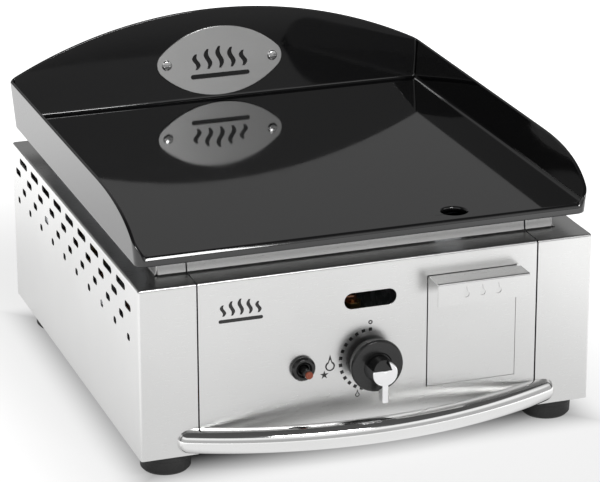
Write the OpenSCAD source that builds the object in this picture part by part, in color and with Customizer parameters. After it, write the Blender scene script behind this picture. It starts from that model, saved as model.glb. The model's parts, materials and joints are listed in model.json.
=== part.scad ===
// Countertop gas griddle: a folded stainless casing on rubber feet, an enamelled cooking
// plate with a splash guard, a tube burner with its valve and igniter, and a grease drawer.
// The frame's origin is on the floor under the middle of the whole machine, the front faces -Y.

/* [Casing] */
// Width of the casing
body_w = 400; // [396:1:412]
// Depth of the casing, without the rail and the gas inlet
body_d = 410; // [406:1:420]
// Height of the casing, from its floor to its flange
body_h = 150; // [150:1:156]
// Thickness of the stainless sheet
sheet = 1; // [0.8:0.1:1]
// Width that each side panel wraps round onto the front
corner_w = 50; // [48:1:52]
// Width of the flange beside the plate
side_flange = 24; // [22:1:25]
// Depth of the flange in front of the plate
front_flange = 28; // [27:0.5:28]
// Height of the collar that stands on the flange
collar_h = 12; // [10:0.5:12]

/* [Cooking plate] */
// Height of the cooking surface above the flange
plate_rise = 25; // [25:0.5:27]
// Thickness of the plate
plate_t = 5; // [4:0.5:5]
// Height of the rolled front lip
lip_h = 8.5; // [7:0.5:8.5]
// Distance from the casing's face back to the lip
plate_inset = 7; // [6:0.5:8]
// Width across the outside of the splash guard at its foot
guard_w = 396; // [394:1:398]
// Thickness of the splash guard
guard_t = 3; // [2:0.5:3]
// Lean of the three walls from upright, in degrees
guard_lean = 5.2; // [4:0.1:5.2]
// Height of the side walls, measured along them
side_wall_h = 44.7; // [40:0.5:48]
// Height of the back wall's arch above its corners
arch_h = 49.3; // [30:1:52]
// Diameter of the grease drain
drain_d = 21; // [18:0.5:21]

/* [Front] */
// Height of the knob and igniter above the casing's floor
control_z = 64; // [63:0.5:66]
// Distance of the igniter to the left of the knob
igniter_x = 60; // [58:1:62]
// Height of the viewing slot above the casing's floor
slot_z = 117.4; // [116:0.5:118]
// Length of the viewing slot
slot_w = 46; // [40:1:48]
// Height of the viewing slot
slot_h = 14; // [10:1:14]
// Distance that the knob is pushed in
knob_travel = 4; // [2:0.5:4]
// Diameter of the knob's skirt
knob_d = 45; // [40:1:46]

/* [Grease drawer] */
// Width of the drawer front
drawer_w = 79.4; // [78:0.1:79.4]
// Height of the drawer front
drawer_h = 99.1; // [98:0.1:99.1]
// Depth of the grease tray
tray_d = 199; // [150:1:199]
// Height of the grease tray
tray_h = 57; // [40:1:57]
// Reach of the drawer's pull
pull_reach = 22; // [18:1:24]
// Height of the pull's front flange
pull_h = 20; // [16:1:24]

/* [Rail and feet] */
// Diameter of the bowed rail
rail_d = 22; // [20:1:22]
// Radius that the rail's centre line is bowed to
rail_bow_r = 370; // [360:5:400]
// Reach of the rail in front of the casing
rail_reach = 41; // [39:0.5:41]
// Height of the rubber feet
foot_h = 18; // [16:1:20]
// Diameter of the rubber feet
foot_d = 45; // [40:1:46]

/* [Gas] */
// Diameter of the burner tube
burner_d = 28; // [26:0.5:28]
// Distance of each burner leg from the middle
burner_x = 60; // [58:1:62]
// Height of the burner's axis above the casing's floor
burner_z = 128; // [127:0.5:129]
// Length of the gas inlet behind the casing
inlet_reach = 24; // [20:1:24]
// Outside diameter of the inlet's thread
inlet_d = 20.8; // [20.8:0.1:21]

/* [Hidden] */
$fn = 48;

// The casing's own frame has its origin on the casing's floor, in the middle of its front face.
front_y = rail_reach - (rail_reach + body_d + inlet_reach) / 2;
half_w = body_w / 2;
seam_x = half_w - corner_w;
seam_gap = 0.5;
plate_top = body_h + plate_rise;
guard_z = plate_top - lip_h;
guard_half = guard_w / 2;
guard_back = body_d - 9;
plate_half = guard_half - guard_t - 0.1;
collar_x = half_w - side_flange;
rear_collar_y = body_d - 20;
rail_z = 12.5;
rail_axis_y = rail_bow_r - rail_reach + rail_d / 2;
rail_bolt_x = 132;
foot_x = half_w - 28;
foot_front_y = 25;
foot_rear_y = body_d - 45;
foot_places = [[-foot_x, foot_front_y], [foot_x, foot_front_y],
               [-foot_x, foot_rear_y], [foot_x, foot_rear_y]];
drain_x = 85;
drain_y = 28.5;
drawer_x = 91;
drawer_z = 31.9;
opening_gap = 0.4;
tray_half = 37;
tray_z = 35;
badge_up = 44.4;
badge_half = 61.3;
badge_screw_x = 51.8;
stud_x = 164;
stud_places = [[-stud_x, 90], [stud_x, 90], [-stud_x, 340], [stud_x, 340]];
leg_start = 75;
bend_y = 310;
strap_places = [110, 290];
valve_y = 44;
inlet_x = -130;
inlet_z = 24;
probe_x = -33;
probe_y = 128;
spark_x = -24;
spark_y = 140;
feed_z = 104;
holder_y = 22;

module in_casing() {
    translate([0, front_y, foot_h]) children();
}

module in_back_wall() {
    translate([0, guard_back, guard_z]) rotate([-guard_lean, 0, 0]) children();
}

module slab(x, y, z) {
    translate([x[0], y[0], z[0]]) cube([x[1] - x[0], y[1] - y[0], z[1] - z[0]]);
}

// A cylinder along +Y, from y[0] to y[1], about the line through x and z
module rod_y(r, y, x = 0, z = 0, sides = 48) {
    translate([x, y[0], z]) rotate([-90, 0, 0]) cylinder(r = r, h = y[1] - y[0], $fn = sides);
}

module rod_z(r, z, x = 0, y = 0, sides = 48) {
    translate([x, y, z[0]]) cylinder(r = r, h = z[1] - z[0], $fn = sides);
}

// A solid of revolution about a line along Y; the outline is a list of [radius, y]
module turned_y(outline, x = 0, z = 0) {
    translate([x, 0, z]) rotate([-90, 0, 0]) rotate_extrude() polygon(outline);
}

// A round-ended slot through a side wall
module slot_x(length, height, y, z, x) {
    reach = (length - height) / 2;
    slab(x, [y - reach, y + reach], [z - height / 2, z + height / 2]);
    for (end = [-1, 1])
        translate([x[0], y + end * reach, z]) rotate([0, 90, 0]) cylinder(d = height, h = x[1] - x[0]);
}

// A round-ended slot through the front or the back
module slot_y(length, height, x, z, y) {
    reach = (length - height) / 2;
    slab([x - reach, x + reach], y, [z - height / 2, z + height / 2]);
    for (end = [-1, 1]) rod_y(height / 2, y, x + end * reach, z);
}

// Bent rod or pipe through a list of points
module pipe(points, r) {
    for (i = [0 : len(points) - 2]) {
        step = points[i + 1] - points[i];
        span = norm(step);
        translate(points[i])
            rotate([0, acos(step[2] / span), atan2(step[1], step[0])])
                cylinder(r = r, h = span, $fn = 24);
    }
    for (i = [1 : len(points) - 2]) translate(points[i]) sphere(r = r, $fn = 24);
}

// ---- Casing ----

vent_rows = [[140, 26, 50, 9], [126.5, 17, 30, 10], [113, 12, 50, 9], [99.5, 7, 30, 10]];
vent_pitch = 40;
vent_h = 6;

module side_vents() {
    for (row = vent_rows, i = [0 : row[3] - 1])
        slot_x(row[1], vent_h, row[2] + i * vent_pitch, row[0], [-half_w - 1, -half_w + sheet + 1]);
}

screw_heights = [25, 75, 125];
casing_screw_x = half_w - 10;

module side_sheet() {
    edge = -seam_x - seam_gap / 2;
    difference() {
        union() {
            slab([-half_w, -half_w + sheet], [0, body_d], [0, body_h]);
            slab([-half_w, edge], [0, sheet], [0, body_h]);
            slab([edge - 10, edge + 8], [sheet, 2 * sheet], [6, body_h - 4]);
            slab([-half_w, -collar_x + sheet], [0, body_d], [body_h - sheet, body_h]);
            slab([-half_w, edge], [0, front_flange + sheet], [body_h - sheet, body_h]);
            slab([-collar_x, -collar_x + sheet], [front_flange, rear_collar_y + sheet],
                 [body_h - sheet, body_h + collar_h]);
            slab([-collar_x, edge], [front_flange, front_flange + sheet],
                 [body_h - sheet, body_h + collar_h]);
            slab([-half_w, -half_w + 20], [body_d - 2 * sheet, body_d - sheet], [6, body_h]);
        }
        side_vents();
        slab([-half_w - 1, half_w], [body_d - sheet, body_d + 1], [-1, body_h - sheet]);
        for (z = screw_heights)
            rod_y(2.2, [body_d - 4, body_d + 1], -casing_screw_x, z);
    }
}

module left_side_panel() {
    color("gainsboro") in_casing() side_sheet();
}

module right_side_panel() {
    color("gainsboro") in_casing() mirror([1, 0, 0]) side_sheet();
}

module front_panel() {
    edge = seam_x - seam_gap / 2;
    half_open = drawer_w / 2 + opening_gap;
    color("gainsboro") in_casing() difference() {
        union() {
            slab([-edge, edge], [0, sheet], [0, body_h]);
            slab([-edge, edge], [0, front_flange + sheet], [body_h - sheet, body_h]);
            slab([-edge, edge], [front_flange, front_flange + sheet],
                 [body_h - sheet, body_h + collar_h]);
        }
        slot_y(slot_w, slot_h, 0, slot_z, [-1, 2]);
        rod_y(6, [-1, 2], 0, control_z);
        rod_y(7.1, [-1, 2], -igniter_x, control_z);
        for (side = [-1, 1]) rod_y(4.2, [-1, 2], side * rail_bolt_x, rail_z);
        slab([drawer_x - half_open, drawer_x + half_open], [-1, 2],
             [drawer_z - opening_gap, drawer_z + drawer_h + opening_gap]);
    }
}

module rear_panel() {
    half = half_w;
    inner = collar_x - sheet - 0.1;
    color("gainsboro") in_casing() difference() {
        union() {
            slab([-half, half], [body_d - sheet, body_d], [0, body_h - sheet]);
            slab([-inner, inner], [rear_collar_y, body_d], [body_h - sheet, body_h]);
            slab([-inner, inner], [rear_collar_y, rear_collar_y + sheet],
                 [body_h - sheet, body_h + collar_h]);
        }
        for (i = [-3 : 3], z = [113, 126.5]) slot_y(26, vent_h, i * vent_pitch, z, [body_d - 2, body_d + 1]);
        rod_y(inlet_d / 2 + 0.4, [body_d - 2, body_d + 1], inlet_x, inlet_z);
        for (side = [-1, 1], z = screw_heights)
            rod_y(2.2, [body_d - 2, body_d + 1], side * casing_screw_x, z);
    }
}

module base_pan() {
    half = half_w - sheet - 0.1;
    front = sheet + 0.1;
    back = body_d - sheet - 0.1;
    edge_h = 5;
    color("silver") in_casing() difference() {
        union() {
            slab([-half, half], [front, back], [0, sheet]);
            for (side = [-1, 1])
                slab([min(side * half, side * (half - sheet)), max(side * half, side * (half - sheet))],
                     [front + 1, back - 1], [0, edge_h]);
            slab([-seam_x + 10, seam_x - 10], [front, front + sheet], [0, edge_h]);
            slab([-half + 20, half - 20], [back - sheet, back], [0, edge_h]);
        }
        for (place = foot_places) rod_z(3.2, [-1, 2], place[0], place[1]);
    }
}

module casing_screws() {
    color("silver") in_casing()
        for (side = [-1, 1], z = screw_heights) {
            rod_y(2, [body_d - 9, body_d + 0.5], side * casing_screw_x, z);
            turned_y([[0, body_d], [3.8, body_d], [3.4, body_d + 1.4], [1.8, body_d + 2.2],
                      [0, body_d + 2.2]], side * casing_screw_x, z);
        }
}

// ---- Cooking plate and splash guard ----

module griddle_plate() {
    color([0.05, 0.05, 0.06]) in_casing() difference() {
        union() {
            slab([-plate_half, plate_half], [plate_inset, guard_back - guard_t],
                 [plate_top - plate_t, plate_top]);
            slab([-plate_half, plate_half], [plate_inset, plate_inset + 3], [guard_z, plate_top]);
        }
        rod_z(drain_d / 2, [plate_top - plate_t - 1, plate_top + 1], drain_x, drain_y);
        for (place = stud_places)
            rod_z(3, [plate_top - plate_t - 1, plate_top - plate_t + 2], place[0], place[1]);
    }
}

// The side wall's front end falls in a superellipse from the top edge down to the lip
curve_reach = 105;
curve_power = 2.4;
curve_steps = 18;
function fall(t) = pow(1 - pow(t, curve_power), 1 / curve_power);
function wall_front() = [
    for (i = [0 : curve_steps])
        let (a = 90 * i / curve_steps, c = pow(cos(a), 2 / curve_power), s = pow(sin(a), 2 / curve_power))
            [plate_inset - 1 + curve_reach * (1 - c), side_wall_h * s]
];

module side_wall() {
    lean_run = side_wall_h * sin(guard_lean);
    translate([-guard_half, 0, guard_z]) rotate([0, -guard_lean, 0]) rotate([90, 0, 90])
        linear_extrude(guard_t)
            polygon(concat(wall_front(), [[guard_back + lean_run - 0.5, side_wall_h],
                                          [guard_back - 0.5, 0]]));
}

module back_wall_outline() {
    top_half = guard_half + side_wall_h * sin(guard_lean);
    arch_r = (top_half * top_half + arch_h * arch_h) / (2 * arch_h);
    polygon([[-guard_half, 0], [guard_half, 0], [top_half, side_wall_h], [-top_half, side_wall_h]]);
    intersection() {
        translate([-top_half, side_wall_h - 0.1]) square([2 * top_half, arch_h + 1]);
        translate([0, side_wall_h + arch_h - arch_r]) circle(r = arch_r, $fn = 200);
    }
}

module splash_guard() {
    color([0.07, 0.07, 0.08]) in_casing() {
        side_wall();
        mirror([1, 0, 0]) side_wall();
        in_back_wall() difference() {
            rotate([90, 0, 0]) linear_extrude(guard_t) back_wall_outline();
            for (side = [-1, 1]) rod_y(2.1, [-guard_t - 1, 1], side * badge_screw_x, badge_up);
        }
    }
}

module drain_spout() {
    top = plate_top - plate_t;
    outer = [[16, top], [51, top], [51, 96], [31, 96], [31, top - 6.7], [16, top - 1.9]];
    inner = [[17.5, top + 1], [49.5, top + 1], [49.5, 95], [32.5, 95], [32.5, top - 5.2],
             [17.5, top - 0.4]];
    color("dimgray") in_casing() difference() {
        translate([drain_x - 12, 0, 0]) rotate([90, 0, 90]) linear_extrude(24) polygon(outer);
        translate([drain_x - 10.5, 0, 0]) rotate([90, 0, 90]) linear_extrude(21) polygon(inner);
    }
}

module plate_bearers() {
    top = plate_top - plate_t;
    inner = collar_x - sheet;
    color("silver") in_casing() for (side = [0, 1]) mirror([side, 0, 0]) difference() {
        union() {
            slab([-inner, -inner + 2], [60, 370], [body_h - 10, top]);
            slab([-inner, -inner + 20], [60, 370], [top - 2, top]);
        }
        for (y = [90, 340]) rod_z(3.3, [top - 3, top + 1], -stud_x, y);
    }
}

module plate_studs() {
    top = plate_top - plate_t;
    color("silver") in_casing()
        for (place = stud_places) rod_z(3, [top - 18, top + 2], place[0], place[1]);
}

module hex_nut_z(r, bore, z, x, y) {
    difference() {
        rod_z(r, z, x, y, 6);
        rod_z(bore, [z[0] - 1, z[1] + 1], x, y);
    }
}

module plate_nuts() {
    top = plate_top - plate_t;
    color("silver") in_casing()
        for (place = stud_places) hex_nut_z(5.8, 3.05, [top - 7, top - 2], place[0], place[1]);
}

// ---- Badge ----

module badge_outline() {
    lens_half = 66;
    rise = 32.75;
    r = (lens_half * lens_half + rise * rise) / (2 * rise);
    intersection() {
        translate([0, rise - r]) circle(r = r, $fn = 160);
        translate([0, r - rise]) circle(r = r, $fn = 160);
        circle(r = badge_half, $fn = 160);
    }
}

module badge_plate() {
    color("silver") in_casing() in_back_wall() difference() {
        translate([0, -guard_t, badge_up]) rotate([90, 0, 0]) linear_extrude(1.2) badge_outline();
        for (side = [-1, 1]) rod_y(2.1, [-guard_t - 2, 0], side * badge_screw_x, badge_up);
    }
}

module badge_screws() {
    face = -guard_t - 1.2;
    color("silver") in_casing() in_back_wall() for (side = [-1, 1]) {
        rod_y(1.9, [face - 0.2, 4], side * badge_screw_x, badge_up);
        difference() {
            turned_y([[0, face], [4.2, face], [3.7, face - 1.1], [2, face - 1.6], [0, face - 1.6]],
                     side * badge_screw_x, badge_up);
            slab([side * badge_screw_x - 5, side * badge_screw_x + 5], [face - 2, face - 0.8],
                 [badge_up - 0.5, badge_up + 0.5]);
        }
    }
}

module badge_nuts() {
    color("silver") in_casing() in_back_wall() for (side = [-1, 1]) difference() {
        rod_y(4, [0, 3], side * badge_screw_x, badge_up, 6);
        rod_y(1.95, [-1, 4], side * badge_screw_x, badge_up);
    }
}

// ---- Rail and feet ----

module front_rail() {
    sweep = 60;
    color("silver") in_casing() intersection() {
        translate([0, rail_axis_y, rail_z]) rotate([0, 0, -90 - sweep / 2])
            rotate_extrude(angle = sweep, $fn = 240)
                translate([rail_bow_r, 0]) difference() {
                    circle(d = rail_d);
                    circle(d = rail_d - 3);
                }
        slab([-half_w, half_w], [-rail_reach - 5, 0], [-5, 40]);
    }
}

module rail_inserts() {
    color("silver") in_casing() for (side = [-1, 1]) difference() {
        rod_y(7, [-5.5, 0], side * rail_bolt_x, rail_z);
        rod_y(4.1, [-6, 1], side * rail_bolt_x, rail_z);
    }
}

module rail_bolts() {
    color("silver") in_casing() for (side = [-1, 1]) {
        rod_y(4, [-5, sheet + 0.2], side * rail_bolt_x, rail_z);
        rod_y(7.2, [sheet, sheet + 5.3], side * rail_bolt_x, rail_z, 6);
    }
}

module foot(place) {
    r = foot_d / 2;
    color([0.12, 0.12, 0.12]) in_casing() translate([place[0], place[1], 0]) rotate_extrude()
        polygon([[3.3, 0], [r - 1, 0], [r, -1], [r, -5], [r - 1, -foot_h + 2.5], [r - 3, -foot_h],
                 [8.5, -foot_h], [8.5, -foot_h / 2], [3.3, -foot_h / 2]]);
}

module foot_screws() {
    color("silver") in_casing() for (place = foot_places) {
        rod_z(3, [-foot_h / 2 - 0.5, 8], place[0], place[1]);
        rod_z(6.5, [-foot_h / 2 - 4, -foot_h / 2], place[0], place[1]);
    }
}

module foot_nuts() {
    color("silver") in_casing() for (place = foot_places) hex_nut_z(5.8, 3.05, [sheet, 6], place[0], place[1]);
}

// ---- Burner ----

module burner_tube() {
    r = burner_d / 2;
    wall = 1.5;
    color("darkgray") in_casing() difference() {
        union() {
            for (side = [-1, 1]) difference() {
                rod_y(r, [leg_start, bend_y], side * burner_x, burner_z);
                rod_y(r - wall, [leg_start - 1, bend_y], side * burner_x, burner_z);
            }
            translate([0, bend_y, burner_z]) rotate_extrude(angle = 180, $fn = 96)
                translate([burner_x, 0]) difference() {
                    circle(r = r);
                    circle(r = r - wall);
                }
        }
        for (side = [-1, 1], y = [126 : 12 : 275])
            rod_z(1.5, [burner_z, burner_z + r + 1], side * burner_x, y, 16);
    }
}

module burner_cap() {
    r = burner_d / 2;
    color("darkgray") in_casing() {
        rod_y(r, [leg_start - 2, leg_start], burner_x, burner_z);
        rod_y(r - 1.6, [leg_start - 0.5, leg_start + 8], burner_x, burner_z);
    }
}

module burner_venturi() {
    r = burner_d / 2;
    color("darkgray") in_casing()
        turned_y([[13, 46], [13, 50], [9, 60], [9, 66], [r - 1.6, 80], [r - 1.6, 95],
                  [r - 2.8, 95], [r - 2.8, 80.4], [7.8, 66.4], [7.8, 59.7], [11.8, 49.7], [11.8, 46]],
                 -burner_x, burner_z);
}

module air_shutter() {
    color("darkgray") in_casing() difference() {
        rod_y(14.6, [43, 51], -burner_x, burner_z);
        rod_y(13.1, [44.2, 52], -burner_x, burner_z);
        rod_y(3.4, [42, 45], -burner_x, burner_z);
        for (turn = [0 : 90 : 270])
            rod_y(2.6, [42, 45], -burner_x + 8 * cos(turn), burner_z + 8 * sin(turn));
    }
}

module burner_injector() {
    color("goldenrod") in_casing() difference() {
        union() {
            rod_y(6, [holder_y + 8, 38], -burner_x, burner_z, 6);
            rod_y(3.2, [37, 47], -burner_x, burner_z);
        }
        rod_y(0.6, [holder_y, 48], -burner_x, burner_z, 16);
    }
}

module injector_holder() {
    color("goldenrod") in_casing() difference() {
        union() {
            rod_z(8, [116, burner_z + 8], -burner_x, holder_y);
            rod_y(7, [holder_y, holder_y + 8], -burner_x, burner_z);
        }
        rod_z(3, [115, burner_z + 3], -burner_x, holder_y);
        rod_y(2.5, [holder_y, holder_y + 9], -burner_x, burner_z);
    }
}

module burner_strap(y) {
    reach = half_w - sheet;
    low = burner_z - burner_d / 2 - 2;
    color("silver") in_casing() difference() {
        union() {
            slab([-reach, reach], [y - 10, y + 10], [low, low + 2]);
            for (side = [0, 1]) mirror([side, 0, 0])
                slab([-reach, -reach + 2], [y - 10, y + 10], [low - 14, low + 1]);
        }
        for (leg = [-1, 1], foot = [-19, 19])
            rod_z(1.8, [low - 1, low + 3], leg * burner_x + foot, y);
    }
}

module burner_clips() {
    r = burner_d / 2;
    low = -r;
    color("silver") in_casing() for (leg = [-1, 1], y = strap_places) difference() {
        translate([leg * burner_x, y + 6, burner_z]) rotate([90, 0, 0]) linear_extrude(12) {
            difference() {
                circle(r = r + 1.5);
                circle(r = r + 0.1);
                translate([-20, -20]) square([40, 20]);
            }
            for (side = [0, 1]) mirror([side, 0]) {
                translate([r + 0.1, low]) square([1.4, r + 0.1]);
                translate([r + 0.1, low]) square([8, 1.5]);
            }
        }
        for (foot = [-19, 19])
            rod_z(1.8, [burner_z + low - 1, burner_z + low + 3], leg * burner_x + foot, y);
    }
}

module clip_screws() {
    top = burner_z - burner_d / 2 + 1.5;
    color("silver") in_casing() for (leg = [-1, 1], y = strap_places, foot = [-19, 19]) {
        rod_z(1.6, [top - 9, top + 0.5], leg * burner_x + foot, y);
        rod_z(2.8, [top, top + 2], leg * burner_x + foot, y);
    }
}

// ---- Gas valve, knob and pipes ----

module gas_valve_body() {
    color("peru") in_casing() difference() {
        union() {
            rod_y(17, [16, 62], 0, control_z);
            rod_y(6, [61, 70], 0, control_z);
            rod_z(7, [control_z - 30, control_z - 12], 0, valve_y);
            rod_z(7, [control_z + 12, control_z + 30], 0, valve_y);
        }
        rod_y(8.4, [15, 52], 0, control_z);
        rod_z(3, [control_z - 31, control_z], 0, valve_y);
        rod_z(3, [control_z, control_z + 31], 0, valve_y);
    }
}

module valve_bonnet() {
    color("silver") in_casing() difference() {
        rod_y(17, [12, 16], 0, control_z);
        rod_y(3.4, [11, 17], 0, control_z);
        for (side = [-1, 1]) rod_y(2, [11, 17], side * 12, control_z);
    }
}

module valve_bracket() {
    color("silver") in_casing() difference() {
        union() {
            slab([-28, 28], [10, 12], [control_z - 24, control_z + 24]);
            for (side = [0, 1]) mirror([side, 0, 0]) {
                slab([-28, -26.5], [sheet, 12], [control_z - 24, control_z + 24]);
                slab([-38, -26.5], [sheet, sheet + 1.5], [control_z - 24, control_z + 24]);
            }
        }
        rod_y(5, [9, 13], 0, control_z);
        for (side = [-1, 1]) rod_y(2.1, [9, 13], side * 12, control_z);
    }
}

module valve_screws() {
    color("silver") in_casing() for (side = [-1, 1]) {
        rod_y(1.9, [9.5, 15.8], side * 12, control_z);
        rod_y(3.5, [7.8, 10], side * 12, control_z);
    }
}

spindle_r = 3;
socket_end = 33 + knob_travel + 1.5;

module valve_plug() {
    color("goldenrod") in_casing() difference() {
        rod_y(8.1, [17, 51], 0, control_z);
        rod_y(spindle_r + 0.1, [16, socket_end], 0, control_z);
        rod_z(2.5, [control_z - 9, control_z - 4], 0, valve_y);
    }
}

module valve_spindle() {
    color("silver") in_casing() difference() {
        rod_y(spindle_r, [-32, 33], 0, control_z);
        slab([-4, 4], [-33, -14], [control_z + 2, control_z + 4]);
    }
}

skirt_back = -knob_travel - 1;
skirt_front = -16;
grip_front = -36;

module knob_skirt() {
    r = knob_d / 2;
    bore = spindle_r + 0.05;
    color([0.1, 0.1, 0.1]) in_casing()
        turned_y([[bore, skirt_back], [7, skirt_back], [7, -12.5], [r - 2.5, -12.5],
                  [r - 2.5, skirt_back], [r, skirt_back], [r - 0.4, -10], [r - 1.2, -14.5],
                  [r - 3, skirt_front], [bore, skirt_front]], 0, control_z);
}

module knob_grip() {
    head_r = 12.4;
    color("silver") in_casing() difference() {
        union() {
            turned_y([[0, skirt_front], [head_r - 1, skirt_front], [head_r, -18],
                      [head_r, grip_front + 1.4], [head_r - 1.4, grip_front], [0, grip_front]],
                     0, control_z);
            slab([-3, 3], [grip_front, grip_front + 9], [control_z - 26, control_z]);
        }
        rod_y(spindle_r + 0.05, [-33, skirt_front + 1], 0, control_z);
    }
}

supply_points = [[0, valve_y, 34], [0, valve_y, inlet_z], [inlet_x, valve_y, inlet_z],
                 [inlet_x, body_d - 24, inlet_z]];

module gas_supply_pipe() {
    color("peru") in_casing() pipe(supply_points, 5);
}

feed_points = [[0, valve_y, control_z + 30], [0, valve_y, feed_z], [-burner_x, valve_y, feed_z],
               [-burner_x, holder_y, feed_z], [-burner_x, holder_y, 116]];

module burner_feed_pipe() {
    color("peru") in_casing() pipe(feed_points, 4);
}

module pipe_nuts() {
    color("goldenrod") in_casing() {
        hex_nut_z(9, 5.1, [30, 34], 0, valve_y);
        hex_nut_z(8, 4.1, [control_z + 30, control_z + 36], 0, valve_y);
        hex_nut_z(8, 4.1, [109, 116], -burner_x, holder_y);
    }
}

nut_front = body_d + 6;

module gas_inlet() {
    r = inlet_d / 2;
    color("goldenrod") in_casing() difference() {
        union() {
            rod_y(8, [body_d - 24, body_d - 8], inlet_x, inlet_z);
            rod_y(15, [body_d - 9, body_d - sheet], inlet_x, inlet_z, 6);
            rod_y(r - 0.2, [body_d - 2, nut_front + 0.5], inlet_x, inlet_z);
            rod_y(r, [nut_front + 0.2, body_d + inlet_reach], inlet_x, inlet_z);
        }
        rod_y(5.5, [body_d - 25, body_d + inlet_reach + 1], inlet_x, inlet_z);
    }
}

module inlet_lock_nut() {
    color("goldenrod") in_casing() difference() {
        rod_y(15, [body_d, nut_front], inlet_x, inlet_z, 6);
        rod_y(inlet_d / 2 - 0.15, [body_d - 1, nut_front + 1], inlet_x, inlet_z);
    }
}

// ---- Ignition ----

bracket_z = burner_z - burner_d / 2;

module electrode_bracket() {
    color("silver") in_casing() difference() {
        slab([-37.5, -14], [102, 150], [bracket_z, bracket_z + 1.2]);
        rod_z(3.05, [bracket_z - 1, bracket_z + 2], probe_x, probe_y);
        rod_z(3.55, [bracket_z - 1, bracket_z + 2], spark_x, spark_y);
    }
}

module thermocouple_probe() {
    color("silver") in_casing() {
        rod_z(3, [bracket_z - 8, bracket_z + 22], probe_x, probe_y);
        rod_z(2, [bracket_z + 21, bracket_z + 34], probe_x, probe_y);
    }
}

module thermocouple_lead() {
    color("peru") in_casing() pipe([[probe_x, probe_y, bracket_z - 8], [probe_x, probe_y, control_z],
                                    [0, probe_y, control_z], [0, 70, control_z]], 1.2);
}

module spark_electrode() {
    color("white") in_casing() {
        rod_z(3.5, [bracket_z - 8, bracket_z + 24], spark_x, spark_y);
        pipe([[spark_x, spark_y, bracket_z + 23], [spark_x, spark_y, bracket_z + 33],
              [spark_x - 17, spark_y, bracket_z + 33]], 1);
    }
}

module ignition_lead() {
    color([0.2, 0.2, 0.2]) in_casing()
        pipe([[spark_x, spark_y, bracket_z - 8], [spark_x, spark_y, control_z],
              [-igniter_x, spark_y, control_z], [-igniter_x, 62, control_z]], 1.5);
}

module piezo_body() {
    color([0.15, 0.15, 0.15]) in_casing() difference() {
        rod_y(9, [8, 62], -igniter_x, control_z);
        rod_y(4.6, [7, 31], -igniter_x, control_z);
    }
}

module igniter_collar() {
    color([0.08, 0.08, 0.08]) in_casing()
        turned_y([[4.6, 8], [6.9, 8], [6.9, 0], [12, 0], [12, -3.5], [11, -5], [9.8, -5], [6, -2.2],
                  [4.6, -2.2]], -igniter_x, control_z);
}

module igniter_stem() {
    color([0.08, 0.08, 0.08]) in_casing() {
        rod_y(2.4, [-9, 22], -igniter_x, control_z);
        rod_y(4.2, [2, 10], -igniter_x, control_z);
    }
}

module igniter_button() {
    color("orangered") in_casing()
        turned_y([[0, -9], [3.9, -9], [4, -15.5], [3.2, -17.4], [0, -18]], -igniter_x, control_z);
}

// ---- Grease drawer ----

guide_x = tray_half + 1.3;
guide_front = 7.5;

module drawer_guides() {
    color("silver") in_casing() translate([drawer_x, 0, 0]) {
        for (side = [0, 1]) mirror([side, 0, 0]) {
            slab([-guide_x - 1, -guide_x], [guide_front, 212], [sheet, 100]);
            slab([-guide_x - 0.5, -guide_x + 9], [guide_front, 212], [tray_z - 1.4, tray_z - 0.4]);
            slab([-guide_x - 8, -guide_x - 0.5], [guide_front, 212], [sheet, 2 * sheet]);
        }
        slab([-guide_x - 0.5, guide_x + 0.5], [tray_d + 2, tray_d + 3], [tray_z - 1, 60]);
    }
}

module heat_shield() {
    color("silver") in_casing() slab([drawer_x - 46, drawer_x + 46], [54, 220], [100, 101]);
}

module drop(x, z) {
    translate([x, z]) {
        circle(r = 2.6, $fn = 32);
        polygon([[-2.42, 0.95], [2.42, 0.95], [0, 7]]);
    }
}

module drawer_front() {
    half = drawer_w / 2;
    top = drawer_z + drawer_h;
    color("gainsboro") in_casing() translate([drawer_x, 0, 0]) difference() {
        union() {
            slab([-half, half], [0, sheet], [drawer_z, top]);
            slab([-half, half], [-pull_reach, sheet], [top - sheet, top]);
            slab([-half, half], [-pull_reach, -pull_reach + sheet], [top - pull_h, top]);
        }
        translate([0, -pull_reach + sheet + 1, 0]) rotate([90, 0, 0]) linear_extrude(sheet + 2)
            for (i = [-1 : 1]) drop(i * 14.4, top - 11.5);
    }
}

module grease_tray() {
    color("silver") in_casing() translate([drawer_x, 0, 0]) difference() {
        slab([-tray_half, tray_half], [sheet, sheet + tray_d], [tray_z, tray_z + tray_h]);
        slab([-tray_half + 1, tray_half - 1], [sheet + 1, sheet + tray_d - 1],
             [tray_z + 1, tray_z + tray_h + 1]);
    }
}

base_pan();
left_side_panel();
right_side_panel();
front_panel();
rear_panel();
griddle_plate();
splash_guard();
drain_spout();
plate_bearers();
plate_studs();
plate_nuts();
badge_plate();
badge_screws();
badge_nuts();
front_rail();
rail_inserts();
rail_bolts();
foot(foot_places[0]);  // foot_front_left
foot(foot_places[1]);  // foot_front_right
foot(foot_places[2]);  // foot_rear_left
foot(foot_places[3]);  // foot_rear_right
foot_screws();
foot_nuts();
casing_screws();
burner_tube();
burner_cap();
burner_venturi();
air_shutter();
burner_injector();
injector_holder();
burner_strap(strap_places[0]);  // burner_strap_front
burner_strap(strap_places[1]);  // burner_strap_rear
burner_clips();
clip_screws();
gas_valve_body();
valve_bonnet();
valve_bracket();
valve_screws();
valve_plug();
valve_spindle();
knob_skirt();
knob_grip();
gas_supply_pipe();
gas_inlet();
inlet_lock_nut();
burner_feed_pipe();
pipe_nuts();
thermocouple_probe();
thermocouple_lead();
electrode_bracket();
spark_electrode();
ignition_lead();
piezo_body();
igniter_collar();
igniter_stem();
igniter_button();
drawer_guides();
heat_shield();
drawer_front();
grease_tray();
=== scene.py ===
"""Looks of the countertop gas griddle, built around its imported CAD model.

Lengths in the shape functions are millimetres in the casing's own frame: x across, y back from
the casing's front face, z up from the casing's floor. new_object() turns them into the model's metres.
"""

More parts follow.
